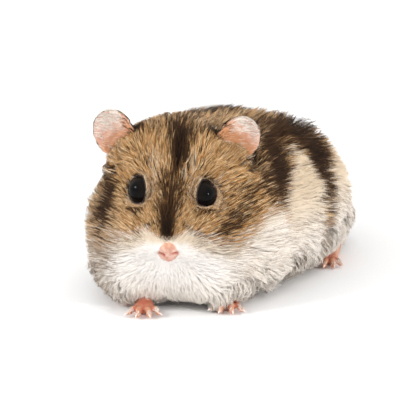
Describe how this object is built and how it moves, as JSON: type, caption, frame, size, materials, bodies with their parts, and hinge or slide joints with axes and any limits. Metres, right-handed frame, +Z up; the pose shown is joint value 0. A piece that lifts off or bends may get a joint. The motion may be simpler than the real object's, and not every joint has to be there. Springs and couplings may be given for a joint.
{
  "type": "dwarf hamster",
  "caption": "Life-size still model of a plump striped dwarf hamster, crouched on its feet with its head turned to its left.",
  "frame": {"origin": "on the floor, under the middle of the animal's bounding box", "axes": "+Z up from the floor; the hamster faces -Y and its tail is at +Y; its own left side is +X"},
  "size_m": [0.0458, 0.075, 0.0349],
  "materials": {
    "agouti_coat": "soft banded fur, golden brown with dark tips and a black stripe over forehead and back",
    "pale_coat": "soft cream to white fur",
    "ear_skin": "thin pink skin under fine pale hairs",
    "bare_skin": "bare pink skin, slightly moist",
    "eye_black": "wet black gloss"
  },
  "bodies": {
    "root": {"head": "agouti_coat", "trunk": "agouti_coat", "foreleg_left": "pale_coat", "foreleg_right": "pale_coat", "hindleg_left": "pale_coat", "hindleg_right": "pale_coat", "tail": "pale_coat", "ear_left": "ear_skin", "ear_right": "ear_skin", "eye_left": "eye_black", "eye_right": "eye_black", "nose": "bare_skin"}
  },
  "joints": []
}
